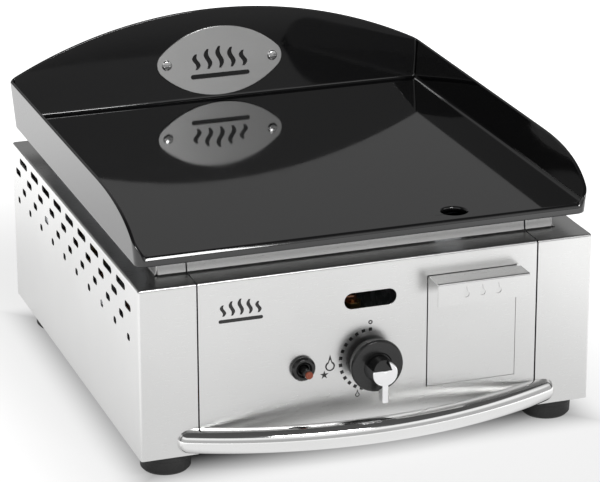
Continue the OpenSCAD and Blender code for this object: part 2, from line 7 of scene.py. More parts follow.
import json
from math import asin, atan2, cos, hypot, pi, radians, sin, sqrt, tan

import bmesh
import bpy
from mathutils import Matrix, Vector

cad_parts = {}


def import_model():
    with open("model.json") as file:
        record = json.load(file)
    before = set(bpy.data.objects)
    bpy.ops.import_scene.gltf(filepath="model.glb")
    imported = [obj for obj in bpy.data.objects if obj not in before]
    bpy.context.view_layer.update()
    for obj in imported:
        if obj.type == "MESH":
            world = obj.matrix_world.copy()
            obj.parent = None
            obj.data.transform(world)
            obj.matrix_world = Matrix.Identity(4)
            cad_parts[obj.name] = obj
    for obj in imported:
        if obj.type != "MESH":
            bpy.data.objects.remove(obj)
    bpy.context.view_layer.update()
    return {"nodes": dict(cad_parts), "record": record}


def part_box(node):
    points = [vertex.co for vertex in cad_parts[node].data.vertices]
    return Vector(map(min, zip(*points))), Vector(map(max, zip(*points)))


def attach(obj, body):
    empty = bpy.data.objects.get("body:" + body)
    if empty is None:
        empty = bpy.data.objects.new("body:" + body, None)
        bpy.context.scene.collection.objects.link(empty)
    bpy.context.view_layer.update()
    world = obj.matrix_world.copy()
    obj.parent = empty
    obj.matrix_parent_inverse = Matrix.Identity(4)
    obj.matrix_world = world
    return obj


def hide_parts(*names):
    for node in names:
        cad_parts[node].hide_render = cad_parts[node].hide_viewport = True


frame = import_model()

MM = 0.001
PANEL_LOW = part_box("front_panel")[0]
ORIGIN = Vector((0.0, PANEL_LOW.y, PANEL_LOW.z))

# Casing
HALF_W = 200.0
BODY_D = 410.0
BODY_H = 150.0
SHEET = 1.0
BEND = 2.2
SEAM_X = 150.0
SEAM_GAP = 1.2
SIDE_FLANGE = 24.0
FRONT_FLANGE = 28.0
COLLAR_H = 12.0
COLLAR_BEND = 2.2
COLLAR_LEAN = 1.25
COLLAR_X = HALF_W - SIDE_FLANGE
REAR_COLLAR_Y = BODY_D - 20.0

# Cooking plate and splash guard
PLATE_TOP = 175.0
PLATE_UNDER = 170.0
GUARD_FOOT = 166.5
GUARD_HALF = 198.0
GUARD_FRONT = 7.0
GUARD_BACK = 401.0
GUARD_T = 3.0
LEAN = radians(5.2)
SIDE_WALL = 44.7
ARCH = 49.3
CURVE_REACH = 105.0
CURVE_POWER = 2.4
# Drain hole: x, y, radius
DRAIN = (85.0, 28.5, 10.5)

# Front
CONTROL_Z = 64.0
IGNITER_X = -60.0
WINDOW_Z = 117.4
WINDOW_W = 46
WINDOW_H = 14
DRAWER_X = 91.0
DRAWER_HALF = 39.7
DRAWER_Z = 31.9
DRAWER_TOP = 131.0
PULL_REACH = 22.0
PULL_H = 20.0
PULL_LAP = 3.0
DRAWER_GAP = 0.35
DRAWER_LEFT_GAP = 0.9
RAIL_R = 11.0
RAIL_BOW = 395.0
RAIL_CENTRE_Y = 365.0
RAIL_END_X = 158.5
RAIL_Z = 12.5
RAIL_STOP_Y = 0.6

# Feet
FOOT_X = 172
FOOT_FRONT_Y = 25
FOOT_REAR_Y = 365

# Gas inlet
INLET_X = -130.0
INLET_Z = 24.0
INLET_R = 10.4


# ---- Mesh helpers ----


def linked(name, data):
    obj = bpy.data.objects.new(name, data)
    bpy.context.scene.collection.objects.link(obj)
    return obj


def new_object(name, verts, faces):
    """An object from points in casing millimetres."""
    mesh = bpy.data.meshes.new(name)
    mesh.from_pydata([ORIGIN + Vector(v) * MM for v in verts], [], faces)
    mesh.validate()
    return linked(name, mesh)


def merged(parts):
    """One list of points and faces from several (points, faces) pairs."""
    verts, faces = [], []
    for part_verts, part_faces in parts:
        start = len(verts)
        verts += part_verts
        faces += [tuple(start + i for i in face) for face in part_faces]
    return verts, faces


def solid(name, verts, faces):
    """An object from a closed shape, with its faces turned outward."""
    obj = new_object(name, verts, faces)
    bm = bmesh.new()
    bm.from_mesh(obj.data)
    bmesh.ops.recalc_face_normals(bm, faces=bm.faces)
    bm.to_mesh(obj.data)
    bm.free()
    return obj


def apply_modifiers(obj):
    graph = bpy.context.evaluated_depsgraph_get()
    mesh = bpy.data.meshes.new_from_object(obj.evaluated_get(graph))
    obj.modifiers.clear()
    obj.data = mesh


def cut(obj, verts, faces):
    """Cuts a closed shape out of obj."""
    cutter = solid("cutter", verts, faces)
    modifier = obj.modifiers.new("cut", "BOOLEAN")
    modifier.operation = "DIFFERENCE"
    modifier.solver = "EXACT"
    modifier.object = cutter
    apply_modifiers(obj)
    bpy.data.objects.remove(cutter)


def cut_outlines(obj, outlines, low, high, place):
    """Cuts flat outlines through obj from depth low to high."""
    cut(obj, *merged([prism(outline, low, high, place) for outline in outlines]))


def thicken(obj):
    """Gives a skin the casing's sheet thickness, inward from its outer face."""
    modifier = obj.modifiers.new("sheet", "SOLIDIFY")
    modifier.thickness = SHEET * MM
    modifier.offset = -1.0
    modifier.use_even_offset = True
    apply_modifiers(obj)


def soften(obj, width, segments=2, angle=38):
    """Smooth shading with the sharp edges rounded over."""
    obj.data.polygons.foreach_set("use_smooth", [True] * len(obj.data.polygons))
    if width:
        bevel = obj.modifiers.new("edges", "BEVEL")
        bevel.width = width * MM
        bevel.segments = segments
        bevel.limit_method = "ANGLE"
        bevel.angle_limit = radians(angle)
    weighted = obj.modifiers.new("shading", "WEIGHTED_NORMAL")
    weighted.keep_sharp = True
    weighted.weight = 80


def finish(obj, material, body, nodes=(), edge=None):
    """Rounds the edges if edge is given, paints the piece, puts it under its body and hides the CAD nodes
    it stands in for.
    """
    if edge is not None:
        soften(obj, edge)
    obj.data.materials.clear()
    obj.data.materials.append(MATERIALS[material])
    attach(obj, body)
    if nodes:
        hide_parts(*nodes)


def rounded(points, steps=4):
    """A polyline whose corners, given as (a, b, radius), are rounded."""
    out = []
    for i, point in enumerate(points):
        radius = point[2] if len(point) > 2 else 0.0
        here = Vector(point[:2])
        if not radius or i in (0, len(points) - 1):
            out.append((here.x, here.y))
            continue
        before = Vector(points[i - 1][:2]) - here
        after = Vector(points[i + 1][:2]) - here
        half = before.angle(after) / 2
        reach = radius / tan(half)
        start = here + before.normalized() * reach
        end = here + after.normalized() * reach
        centre = here + (before.normalized() + after.normalized()).normalized() * radius / sin(half)
        for k in range(steps + 1):
            t = k / steps
            chord = start.lerp(end, t) - centre
            spot = centre + chord.normalized() * radius
            out.append((spot.x, spot.y))
    return out


def revolved(profile, place, segments=64):
    """A lathe shape: profile is (radius, distance along) and place turns (u, v, along) into a point."""
    verts, faces, rings = [], [], []
    for radius, along in profile:
        if radius < 1e-6:
            rings.append([len(verts)])
            verts.append(place(0.0, 0.0, along))
            continue
        rings.append(list(range(len(verts), len(verts) + segments)))
        for k in range(segments):
            turn = 2 * pi * k / segments
            verts.append(place(radius * cos(turn), radius * sin(turn), along))
    for low, high in zip(rings, rings[1:]):
        for k in range(segments):
            a, b = k, (k + 1) % segments
            if len(low) == 1 and len(high) > 1:
                faces.append((low[0], high[b], high[a]))
            elif len(high) == 1 and len(low) > 1:
                faces.append((low[a], low[b], high[0]))
            elif len(low) > 1:
                faces.append((low[a], low[b], high[b], high[a]))
    return verts, faces


def along_y(x, z):
    return lambda u, v, along: (x + u, along, z + v)


def along_z(x, y):
    return lambda u, v, along: (x + u, y + v, along)


def ring_faces(count, rings):
    """Faces of a closed shape whose points are that many rings of count points each."""
    last = count * (rings - 1)
    faces = [tuple(range(count)), tuple(range(last + count - 1, last - 1, -1))]
    for ring in range(0, last, count):
        for k in range(count):
            n = (k + 1) % count
            faces.append((ring + k, ring + n, ring + count + n, ring + count + k))
    return faces


def prism(outline, low, high, place):
    """A flat outline drawn out from low to high; place turns (a, b, depth) into a point."""
    verts = [place(a, b, depth) for depth in (low, high) for a, b in outline]
    return verts, ring_faces(len(outline), 2)


def stacked(outline, levels, centre, place):
    """A flat outline about (0, 0) stacked in levels of (depth, inset) and closed at both ends."""
    verts = []
    for depth, inset in levels:
        for a, b in outline:
            share = 1 - inset / hypot(a, b)
            verts.append(place(centre[0] + a * share, centre[1] + b * share, depth))
    return verts, ring_faces(len(outline), len(levels))


def sharpen(obj, angle):
    """Smooth shading that stops at edges sharper than angle."""
    obj.data.polygons.foreach_set("use_smooth", [True] * len(obj.data.polygons))
    obj.data.set_sharp_from_angle(angle=radians(angle))


def through_front(a, b, depth):
    return (a, depth, b)


def through_side(a, b, depth):
    return (depth, a, b)


def slot_outline(a, b, length, height, steps=8):
    """A round-ended slot about (a, b)."""
    reach, radius = (length - height) / 2, height / 2
    points = []
    for side, first in ((1, -90), (-1, 90)):
        for k in range(steps + 1):
            turn = radians(first + 180 * k / steps)
            points.append((a + side * reach + radius * cos(turn), b + radius * sin(turn)))
    return points


def circle_outline(a, b, radius, steps=32):
    turns = [2 * pi * k / steps for k in range(steps)]
    return [(a + radius * cos(t), b + radius * sin(t)) for t in turns]


def block(x, y, z):
    return prism([(x[0], z[0]), (x[1], z[0]), (x[1], z[1]), (x[0], z[1])], y[0], y[1], through_front)


def smooth_step(t):
    t = min(max(t, 0.0), 1.0)
    return t * t * (3 - 2 * t)


# ---- Materials ----


def new_material(name):
    material = bpy.data.materials.new(name)
    material.use_nodes = True
    return material, material.node_tree, material.node_tree.nodes["Principled BSDF"]


def node(tree, kind):
    return tree.nodes.new("ShaderNode" + kind)


def noise(tree, scale, stretch=(1, 1, 1), detail=2.0, rough=0.5):
    """Noise in the model's own metres, stretched along the axes."""
    mapping = node(tree, "Mapping")
    mapping.inputs["Scale"].default_value = stretch
    texture = node(tree, "TexNoise")
    texture.inputs["Scale"].default_value = scale
    texture.inputs["Detail"].default_value = detail
    texture.inputs["Roughness"].default_value = rough
    tree.links.new(node(tree, "TexCoord").outputs["Object"], mapping.inputs["Vector"])
    tree.links.new(mapping.outputs["Vector"], texture.inputs["Vector"])
    return texture.outputs["Fac"]


def combined(tree, operation, *values):
    maths = node(tree, "Math")
    maths.operation = operation
    for number, value in enumerate(values):
        tree.links.new(value, maths.inputs[number])
    return maths.outputs["Value"]


def ranged(tree, value, low, high, first=0.3, last=0.7, smooth=False):
    """value's run from first to last turned into one from low to high."""
    mapped = node(tree, "MapRange")
    if smooth:
        mapped.interpolation_type = "SMOOTHSTEP"
    for label, number in (("From Min", first), ("From Max", last), ("To Min", low), ("To Max", high)):
        mapped.inputs[label].default_value = number
    tree.links.new(value, mapped.inputs["Value"])
    return mapped.outputs["Result"]


def coloured(tree, value, dark, light):
    ramp = node(tree, "ValToRGB")
    for element, position, colour in zip(ramp.color_ramp.elements, (0.3, 0.7), (dark, light)):
        element.position = position
        element.color = (*colour, 1)
    tree.links.new(value, ramp.inputs["Fac"])
    return ramp.outputs["Color"]


def bumped(tree, shader, height, strength, distance):
    bump = node(tree, "Bump")
    bump.inputs["Strength"].default_value = strength
    bump.inputs["Distance"].default_value = distance
    tree.links.new(height, bump.inputs["Height"])
    tree.links.new(bump.outputs["Normal"], shader.inputs["Normal"])


def surfaced(tree, shader, tone, dark, light, wear, rough, metallic=1.0):
    """Lets the colour follow tone and the roughness follow wear."""
    tree.links.new(coloured(tree, tone, dark, light), shader.inputs["Base Color"])
    tree.links.new(ranged(tree, wear, *rough), shader.inputs["Roughness"])
    shader.inputs["Metallic"].default_value = metallic


def brushed_metal(name, dark, light, rough, grain, strength=0.12, depth=0.00002, smear=0.0):
    """Satin metal: fine scratches drawn out along one axis over a faint cloudy tone.
    smear stretches its highlights up and down, across scratches that run along x."""
    material, tree, shader = new_material(name)
    scratches = noise(tree, 1.0, grain, detail=4.0, rough=0.65)
    surfaced(tree, shader, noise(tree, 9.0, detail=3.0), dark, light, scratches, rough)
    bumped(tree, shader, scratches, strength, depth)
    if smear:
        shader.inputs["Anisotropic"].default_value = smear
        tangent = node(tree, "Tangent")
        tangent.direction_type = "UV_MAP"
        tangent.uv_map = "brushing"
        tree.links.new(tangent.outputs["Tangent"], shader.inputs["Tangent"])
    return material


def mirror_metal(name, dark, rough):
    """Polished metal with a faint smear."""
    material, tree, shader = new_material(name)
    smear = noise(tree, 120.0, detail=3.0)
    light = [tone * 1.04 for tone in dark]
    surfaced(tree, shader, smear, dark, light, smear, rough)
    return material


def moulded(name, dark, light, rough, grain, strength):
    """Moulded plastic, rubber or ceramic with a fine surface grain."""
    material, tree, shader = new_material(name)
    speck = noise(tree, grain, detail=3.0)
    surfaced(tree, shader, noise(tree, 40.0), dark, light, speck, rough, metallic=0.0)
    bumped(tree, shader, speck, strength, 0.00004)
    return material


def enamel():
    """Vitreous black enamel: wet gloss over a faintly uneven fired surface."""
    material, tree, shader = new_material("black_enamel")
    fine = noise(tree, 420.0, detail=3.0)
    surfaced(tree, shader, fine, (0.0036, 0.0036, 0.0040), (0.0054, 0.0054, 0.0058),
             noise(tree, 35.0), (0.035, 0.065), metallic=0.0)
    shader.inputs["IOR"].default_value = 1.68
    bumped(tree, shader, fine, 0.10, 0.00002)
    return material


def galvanised():
    """Zinc-coated sheet with crystal spangles."""
    material, tree, shader = new_material("galvanised_sheet")
    cells = node(tree, "TexVoronoi")
    cells.inputs["Scale"].default_value = 160.0
    tree.links.new(node(tree, "TexCoord").outputs["Object"], cells.inputs["Vector"])
    grey = node(tree, "RGBToBW")
    tree.links.new(cells.outputs["Color"], grey.inputs["Color"])
    spangle = grey.outputs["Val"]
    surfaced(tree, shader, spangle, (0.36, 0.37, 0.39), (0.62, 0.63, 0.65), spangle, (0.32, 0.5))
    return material


def fired_steel():
    """Burner tube steel, browned and blued by heat."""
    material, tree, shader = new_material("burner_steel")
    tint = noise(tree, 26.0, detail=5.0, rough=0.6)
    surfaced(tree, shader, tint, (0.16, 0.13, 0.14), (0.46, 0.43, 0.40), tint, (0.5, 0.32))
    bumped(tree, shader, tint, 0.2, 0.0001)
    return material


# Satin metals: dark and light tone, roughness, grain, then strength and depth of the scratches, and smear
BRUSHED = {
    "stainless_sheet": ((0.68, 0.68, 0.675), (0.72, 0.72, 0.715), (0.27, 0.30), (70, 2600, 2600), 0.02),
    "tray_sheet": ((0.60, 0.60, 0.60), (0.66, 0.66, 0.66), (0.28, 0.38), (1800, 60, 1800)),
    "brushed_badge": (
        (0.62, 0.62, 0.615), (0.70, 0.70, 0.695), (0.30, 0.34), (40, 2600, 2600), 0.2, 0.00003, 0.85),
    "polished_rail": ((0.82, 0.82, 0.815), (0.86, 0.86, 0.855), (0.06, 0.10), (90, 1600, 1600), 0.04),
    "zinc_steel": ((0.48, 0.49, 0.50), (0.60, 0.61, 0.62), (0.26, 0.42), (700, 700, 700)),
    "brass": ((0.60, 0.42, 0.17), (0.74, 0.54, 0.24), (0.24, 0.38), (600, 600, 600)),
    "valve_alloy": ((0.50, 0.46, 0.38), (0.62, 0.57, 0.48), (0.38, 0.52), (800, 800, 800), 0.3),
    "copper_pipe": ((0.60, 0.27, 0.16), (0.74, 0.38, 0.25), (0.24, 0.36), (300, 300, 300)),
}
# Mirror-bright metals: tone and roughness
BRIGHT = {
    "bright_screws": ((0.72, 0.72, 0.72), (0.12, 0.2)),
    "chrome_grip": ((0.86, 0.86, 0.87), (0.02, 0.06)),
}
# Plastic, rubber and ceramic: dark and light tone, roughness, size of the grain and its strength
MOULDED = {
    "black_plastic": ((0.009, 0.009, 0.009), (0.013, 0.013, 0.013), (0.16, 0.28), 900.0, 0.05),
    "gloss_plastic": ((0.005, 0.005, 0.005), (0.008, 0.008, 0.008), (0.05, 0.10), 900.0, 0.03),
    "rubber": ((0.010, 0.010, 0.010), (0.016, 0.016, 0.016), (0.5, 0.7), 700.0, 0.5),
    "red_plastic": ((0.22, 0.042, 0.016), (0.27, 0.054, 0.021), (0.25, 0.38), 900.0, 0.15),
    "white_ceramic": ((0.74, 0.73, 0.70), (0.82, 0.81, 0.79), (0.2, 0.34), 900.0, 0.15),
    "black_lead": ((0.02, 0.02, 0.02), (0.04, 0.04, 0.04), (0.42, 0.6), 900.0, 0.15),
}

MATERIALS = {"black_enamel": enamel(), "galvanised_sheet": galvanised(), "burner_steel": fired_steel()}
for makes, table in ((brushed_metal, BRUSHED), (mirror_metal, BRIGHT), (moulded, MOULDED)):
    for name, looks in table.items():
        MATERIALS[name] = makes(name, *looks)


# ---- Casing panels ----


# Points of a panel's profile up to its wall's top, its flange's inner edge and its collar's edge
WALL_ROWS = 2
FLANGE_ROWS = 8
ALL_ROWS = 13


def panel_profile(outer, inner):
    """Points of a panel at one place along it: up its wall, over its flange, up its collar."""
    start, end = Vector(outer), Vector(inner)
    inward = (end - start).normalized()
    rows = [(*start, 0.0), (*start, BODY_H - BEND)]
    for k in range(1, 6):
        turn = radians(18 * k)
        spot = start + inward * BEND * (1 - cos(turn))
        rows.append((*spot, BODY_H - BEND + BEND * sin(turn)))
    rows.append((*(end - inward * COLLAR_BEND), BODY_H))
    for k in range(1, 5):
        turn = radians(21 * k)
        spot = end - inward * COLLAR_BEND * (1 - sin(turn))
        rows.append((*spot, BODY_H + COLLAR_BEND * (1 - cos(turn))))
    rows.append((*(end + inward * COLLAR_LEAN), BODY_H + COLLAR_H))
    return rows


def panel_skin(name, stations):
    """A folded panel from stations of (outer, inner, how many rows are there up to the next station)."""
    verts, faces = [], []
    rows = [panel_profile(outer, inner) for outer, inner, _ in stations]
    count = len(rows[0])
    for row in rows:
        verts += row
    for s in range(len(stations) - 1):
        for k in range(stations[s][2] - 1):
            a, b = s * count + k, (s + 1) * count + k
            faces.append((a, b, b + 1, a + 1))
    obj = new_object(name, verts, faces)
    bm = bmesh.new()
    bm.from_mesh(obj.data)
    bmesh.ops.delete(bm, geom=[v for v in bm.verts if not v.link_faces], context="VERTS")
    bm.to_mesh(obj.data)
    bm.free()
    return obj


def side_stations(side):
    """Stations from the front seam, round the corner, to the back."""
    stations = []
    steps = 6
    edge = SEAM_X + SEAM_GAP / 2
    radius, inner_radius = BEND, 1.0
    for x in (edge, edge + 6, COLLAR_X - 2.4, COLLAR_X - 1.4):
        stations.append([(x, 0.0), (x, FRONT_FLANGE), ALL_ROWS])
    stations[-1][2] = FLANGE_ROWS
    for k in range(steps + 1):
        turn = radians(90 * k / steps)
        outer = (HALF_W - radius + radius * sin(turn), radius - radius * cos(turn))
        inner = (COLLAR_X - inner_radius + inner_radius * sin(turn),
                 FRONT_FLANGE + inner_radius - inner_radius * cos(turn))
        stations.append([outer, inner, FLANGE_ROWS])
    for y in (FRONT_FLANGE + 1.6, FRONT_FLANGE + 4, 210, REAR_COLLAR_Y + SHEET):
        stations.append([(HALF_W, y), (COLLAR_X, y), ALL_ROWS])
    stations[-1][2] = FLANGE_ROWS
    stations.append([(HALF_W, BODY_D - SHEET), (COLLAR_X, BODY_D - SHEET), FLANGE_ROWS])
    return [((side * o[0], o[1]), (side * i[0], i[1]), rows) for o, i, rows in stations]


# Rows of side vents: (height, length of a slot, first slot's distance from the front, how many)
VENT_ROWS = (
    (140.0, 26.5, 50.0, 9),
    (126.5, 17.5, 30.0, 10),
    (113.0, 13.0, 50.0, 9),
    (99.5, 8.6, 30.0, 10),
)
VENT_PITCH = 40.0
VENT_H = 6.0


def side_vents():
    """Outlines of a side panel's vents."""
    return [slot_outline(first + k * VENT_PITCH, z, length, VENT_H)
            for z, length, first, count in VENT_ROWS for k in range(count)]


def face_outward(obj, direction):
    """Turns every face over if the largest one faces away from direction."""
    largest = max(obj.data.polygons, key=lambda face: face.area)
    if largest.normal.dot(Vector(direction)) < 0:
        obj.data.flip_normals()


def side_panel(name, side, cad_node):
    obj = panel_skin(name, side_stations(side))
    face_outward(obj, (side, 0, 0))
    thicken(obj)
    cut_outlines(obj, side_vents(), side * (HALF_W - 4), side * (HALF_W + 2), through_side)
    finish(obj, "stainless_sheet", "casing", [cad_node], edge=0.15)


def front_panel():
    edge = SEAM_X - SEAM_GAP / 2
    stations = [((x, 0.0), (x, FRONT_FLANGE), ALL_ROWS) for x in (-edge, -edge + 6, 0, edge - 6, edge)]
    obj = panel_skin("front_sheet", stations)
    face_outward(obj, (0, -1, 0))
    thicken(obj)
    left = DRAWER_X - DRAWER_HALF - DRAWER_LEFT_GAP
    right = DRAWER_X + DRAWER_HALF + DRAWER_GAP
    low, high = DRAWER_Z - DRAWER_GAP, DRAWER_TOP + DRAWER_GAP
    drawer_hole = [(left, low), (right, low), (right, high), (left, high)]
    window = slot_outline(0, WINDOW_Z, WINDOW_W, WINDOW_H, 16)
    round_holes = [circle_outline(0, CONTROL_Z, 6), circle_outline(IGNITER_X, CONTROL_Z, 7.1)]
    cut_outlines(obj, [window, *round_holes, drawer_hole], -3, 5, through_front)
    finish(obj, "stainless_sheet", "casing", ["front_panel"], edge=0.3)


def rear_panel():
    inner = COLLAR_X - SHEET - 0.1
    stations = []
    for x in (-HALF_W, -inner, 0, inner, HALF_W):
        rows = ALL_ROWS if x in (-inner, 0) else WALL_ROWS
        stations.append(((x, BODY_D), (x, REAR_COLLAR_Y), rows))
    obj = panel_skin("rear_sheet", stations)
    face_outward(obj, (0, 1, 0))
    thicken(obj)
    outlines = [slot_outline(i * VENT_PITCH, z, 26, VENT_H) for i in range(-3, 4) for z in (113, 126.5)]
    outlines.append(circle_outline(INLET_X, INLET_Z, INLET_R + 0.4))
    cut_outlines(obj, outlines, BODY_D - 4, BODY_D + 3, through_front)
    finish(obj, "stainless_sheet", "casing", ["rear_panel"], edge=0.22)


# ---- Cooking plate and splash guard ----


def wall_height(y):
    """Height of a side wall along its lean, at a distance back from the front face."""
    t = min(max((y - GUARD_FRONT + 1) / CURVE_REACH, 0.0), 1.0)
    return SIDE_WALL * (1 - (1 - t) ** CURVE_POWER) ** (1 / CURVE_POWER)


def arch_height(x):
    """How far the back wall's arch stands above the side walls' height."""
    half = GUARD_HALF + SIDE_WALL * sin(LEAN)
    radius = (half * half + ARCH * ARCH) / (2 * ARCH)
    x = min(abs(x), half)
    return sqrt(radius * radius - x * x) - (radius - ARCH)


LIP_TOP = PLATE_TOP - GUARD_FOOT
INSET = 16.0
RIM_R = 1.15
FILLET_R = 3.6
# The lip's roll from its face up to the plate: (first tilt, last tilt, radius, steps), tilts in degrees
LIP_ARCS = ((90.0, 59.5, 0.8, 2), (59.5, 55.0, 35.0, 3), (55.0, 0.0, 1.6, 4))
LIP_FLAT = 9.0
# A wall that rises this far over the plate has nothing left of the lip's shape
BLEND_RISE = 5.0


def leaned(up, inward):
    """A point of a wall's cross-section, that far up its lean and that far in from its outer face."""
    c, s = cos(LEAN), sin(LEAN)
    return (up * s - inward * c, GUARD_FOOT + inward * s + up * c)


def wall_section(height, rise):
    """A wall as (outward, up) points: underside, foot, outer face, rim, inner face, fillet, flat."""
    c, s = cos(LEAN), sin(LEAN)
    inner_rim = min(RIM_R, rise * 0.3)
    fillet = min(FILLET_R, rise * 0.8)
    top = max(height, LIP_TOP / c)
    points = [(-INSET, PLATE_UNDER), leaned(3.6, GUARD_T), leaned(0.5, GUARD_T), leaned(0, GUARD_T - 0.5),
              leaned(0, 0.8), leaned(0.25, 0.25), leaned(0.8, 0)]
    points += [leaned(0.8 + (top - RIM_R - 0.8) * k / 4, 0) for k in range(1, 5)]
    for k in range(1, 5):
        turn = radians(22.5 * k)
        points.append(leaned(top - RIM_R + RIM_R * sin(turn), RIM_R - RIM_R * cos(turn)))
    for k in range(5):
        turn = radians(22.5 * k)
        points.append(leaned(top - inner_rim + inner_rim * cos(turn),
                             GUARD_T - inner_rim + inner_rim * sin(turn)))
    touch = (LIP_TOP + fillet * (1 - s) - GUARD_T * s) / c
    low = max(touch, 0.0)
    points += [leaned(top - inner_rim + (low - top + inner_rim) * k / 3, GUARD_T) for k in (1, 2)]
    centre = touch * s - GUARD_T * c - fillet * c
    for k in range(8):
        turn = -LEAN - (pi / 2 - LEAN) * k / 7
        points.append((centre + fillet * cos(turn), PLATE_TOP + fillet + fillet * sin(turn)))
    points.append((-INSET, PLATE_TOP))
    return points


def lip_section():
    """The front lip as (outward, up) points, one for each of wall_section's."""
    rolled = sum(radius * (cos(radians(last)) - cos(radians(first)))
                 for first, last, radius, _ in LIP_ARCS)
    points = [(-INSET, PLATE_UNDER), (-GUARD_T, PLATE_UNDER + 0.1), (-GUARD_T, GUARD_FOOT + 0.5),
              (-GUARD_T + 0.5, GUARD_FOOT), (-0.8, GUARD_FOOT), (-0.25, GUARD_FOOT + 0.25),
              (0, GUARD_FOOT + 0.8)]
    points += [(0, GUARD_FOOT + 0.8 + (LIP_TOP - rolled - 0.8) * k / 4) for k in range(1, 5)]
    for first, last, radius, steps in LIP_ARCS:
        start = points[-1]
        for k in range(1, steps + 1):
            tilt = radians(first + (last - first) * k / steps)
            points.append((start[0] + radius * (sin(tilt) - sin(radians(first))),
                           start[1] + radius * (cos(tilt) - cos(radians(first)))))
    edge = points[-1][0]
    points += [(edge - (LIP_FLAT + edge) * k / 10, PLATE_TOP) for k in range(1, 11)]
    points.append((-INSET, PLATE_TOP))
    return points


def guard_profile(height):
    """The shell's cross-section: the lip's, blended into the wall's as the wall rises."""
    rise = max(height * cos(LEAN) - LIP_TOP, 0.0)
    share = smooth_step(rise / BLEND_RISE)
    return [(a[0] + (b[0] - a[0]) * share, a[1] + (b[1] - a[1]) * share)
            for a, b in zip(lip_section(), wall_section(height, rise))]


def spread(low, high, count):
    """Evenly spaced values from low up to but without high."""
    return [low + (high - low) * k / count for k in range(count)]


FRONT_R = 8.5
BACK_R = 1.6
INNER_R = 3.0
INNER_HALF = GUARD_HALF - INSET
INNER_FRONT = GUARD_FRONT + INSET
INNER_BACK = GUARD_BACK - INSET


def on_arc(x, y, radius, out):
    return (x + radius * out[0], y + radius * out[1])


def lip_stations():
    """From the middle of the lip to its right end and round the corner, where the wall starts to rise."""
    stations = []
    for t in spread(0, 1, 14):
        inner = (t * (INNER_HALF - INNER_R), INNER_FRONT)
        stations.append(((t * (GUARD_HALF - FRONT_R), GUARD_FRONT), (0, -1), inner, 0.0))
    steps = 14
    for k in range(steps + 1):
        turn = radians(90 * k / steps)
        out = (sin(turn), -cos(turn))
        foot = on_arc(GUARD_HALF - FRONT_R, GUARD_FRONT + FRONT_R, FRONT_R, out)
        inner = on_arc(INNER_HALF - INNER_R, INNER_FRONT + INNER_R, INNER_R, out)
        height = wall_height(foot[1]) + (LIP_TOP - wall_height(GUARD_FRONT)) * (1 - k / steps)
        stations.append((foot, out, inner, height))
    return stations


def side_wall_stations():
    """Back along the right wall, close together where its top curves up."""
    first, last = GUARD_FRONT + FRONT_R, GUARD_BACK - BACK_R
    curve_end = GUARD_FRONT - 1 + CURVE_REACH
    places = [first + (curve_end - first) * (k / 18) ** 1.6 for k in range(1, 19)]
    places += [curve_end + (last - curve_end) * k / 18 for k in range(1, 18)]
    stations = []
    for y in places:
        t = (y - first) / (last - first)
        inner_y = INNER_FRONT + INNER_R + t * (INNER_BACK - INNER_R - INNER_FRONT - INNER_R)
        stations.append(((GUARD_HALF, y), (1, 0), (INNER_HALF, inner_y), wall_height(y)))
    return stations


def back_wall_stations():
    """Round the rear corner and along the back wall to its middle."""
    stations = []
    for k in range(7):
        turn = radians(90 * k / 6)
        out = (cos(turn), sin(turn))
        foot = on_arc(GUARD_HALF - BACK_R, GUARD_BACK - BACK_R, BACK_R, out)
        inner = on_arc(INNER_HALF - INNER_R, INNER_BACK - INNER_R, INNER_R, out)
        top_x = foot[0] + SIDE_WALL * sin(LEAN) * out[0]
        stations.append((foot, out, inner, SIDE_WALL + arch_height(top_x)))
    for t in spread(0, 1, 30)[1:]:
        x = (1 - t) * (GUARD_HALF - BACK_R)
        inner = ((1 - t) * (INNER_HALF - INNER_R), INNER_BACK)
        stations.append(((x, GUARD_BACK), (0, 1), inner, SIDE_WALL + arch_height(x)))
    stations.append(((0.0, GUARD_BACK), (0, 1), (0.0, INNER_BACK), SIDE_WALL + ARCH))
    return stations


def guard_stations():
    """Stations round the plan: (foot point, outward direction, inner point, wall height)."""
    right = lip_stations() + side_wall_stations() + back_wall_stations()
    left = [((-f[0], f[1]), (-o[0], o[1]), (-i[0], i[1]), h) for f, o, i, h in right[1:-1]]
    return right + left[::-1]


def guard_point(station, outward_by, up):
    """A cross-section point of a station, in casing millimetres."""
    foot, out, inner, _ = station
    ahead, back = max(outward_by, 0.0), max(-outward_by, 0.0) / INSET
    return (foot[0] + out[0] * ahead + (inner[0] - foot[0]) * back,
            foot[1] + out[1] * ahead + (inner[1] - foot[1]) * back, up)


def between_loops(verts, outer, inner, centre):
    """Triangles that join two loops of points running round centre, given as indices."""
    def turns(loop):
        found = sorted((atan2(verts[i][1] - centre[1], verts[i][0] - centre[0]), i) for i in loop)
        return found + [(found[0][0] + 2 * pi, found[0][1])]

    out, ins = turns(outer), turns(inner)
    faces, a, b = [], 0, 0
    while a < len(outer) or b < len(inner):
        if b == len(inner) or (a < len(outer) and out[a + 1][0] < ins[b + 1][0]):
            faces.append((out[a][1], out[a + 1][1], ins[b][1]))
            a += 1
        else:
            faces.append((out[a][1], ins[b + 1][1], ins[b][1]))
            b += 1
    return faces


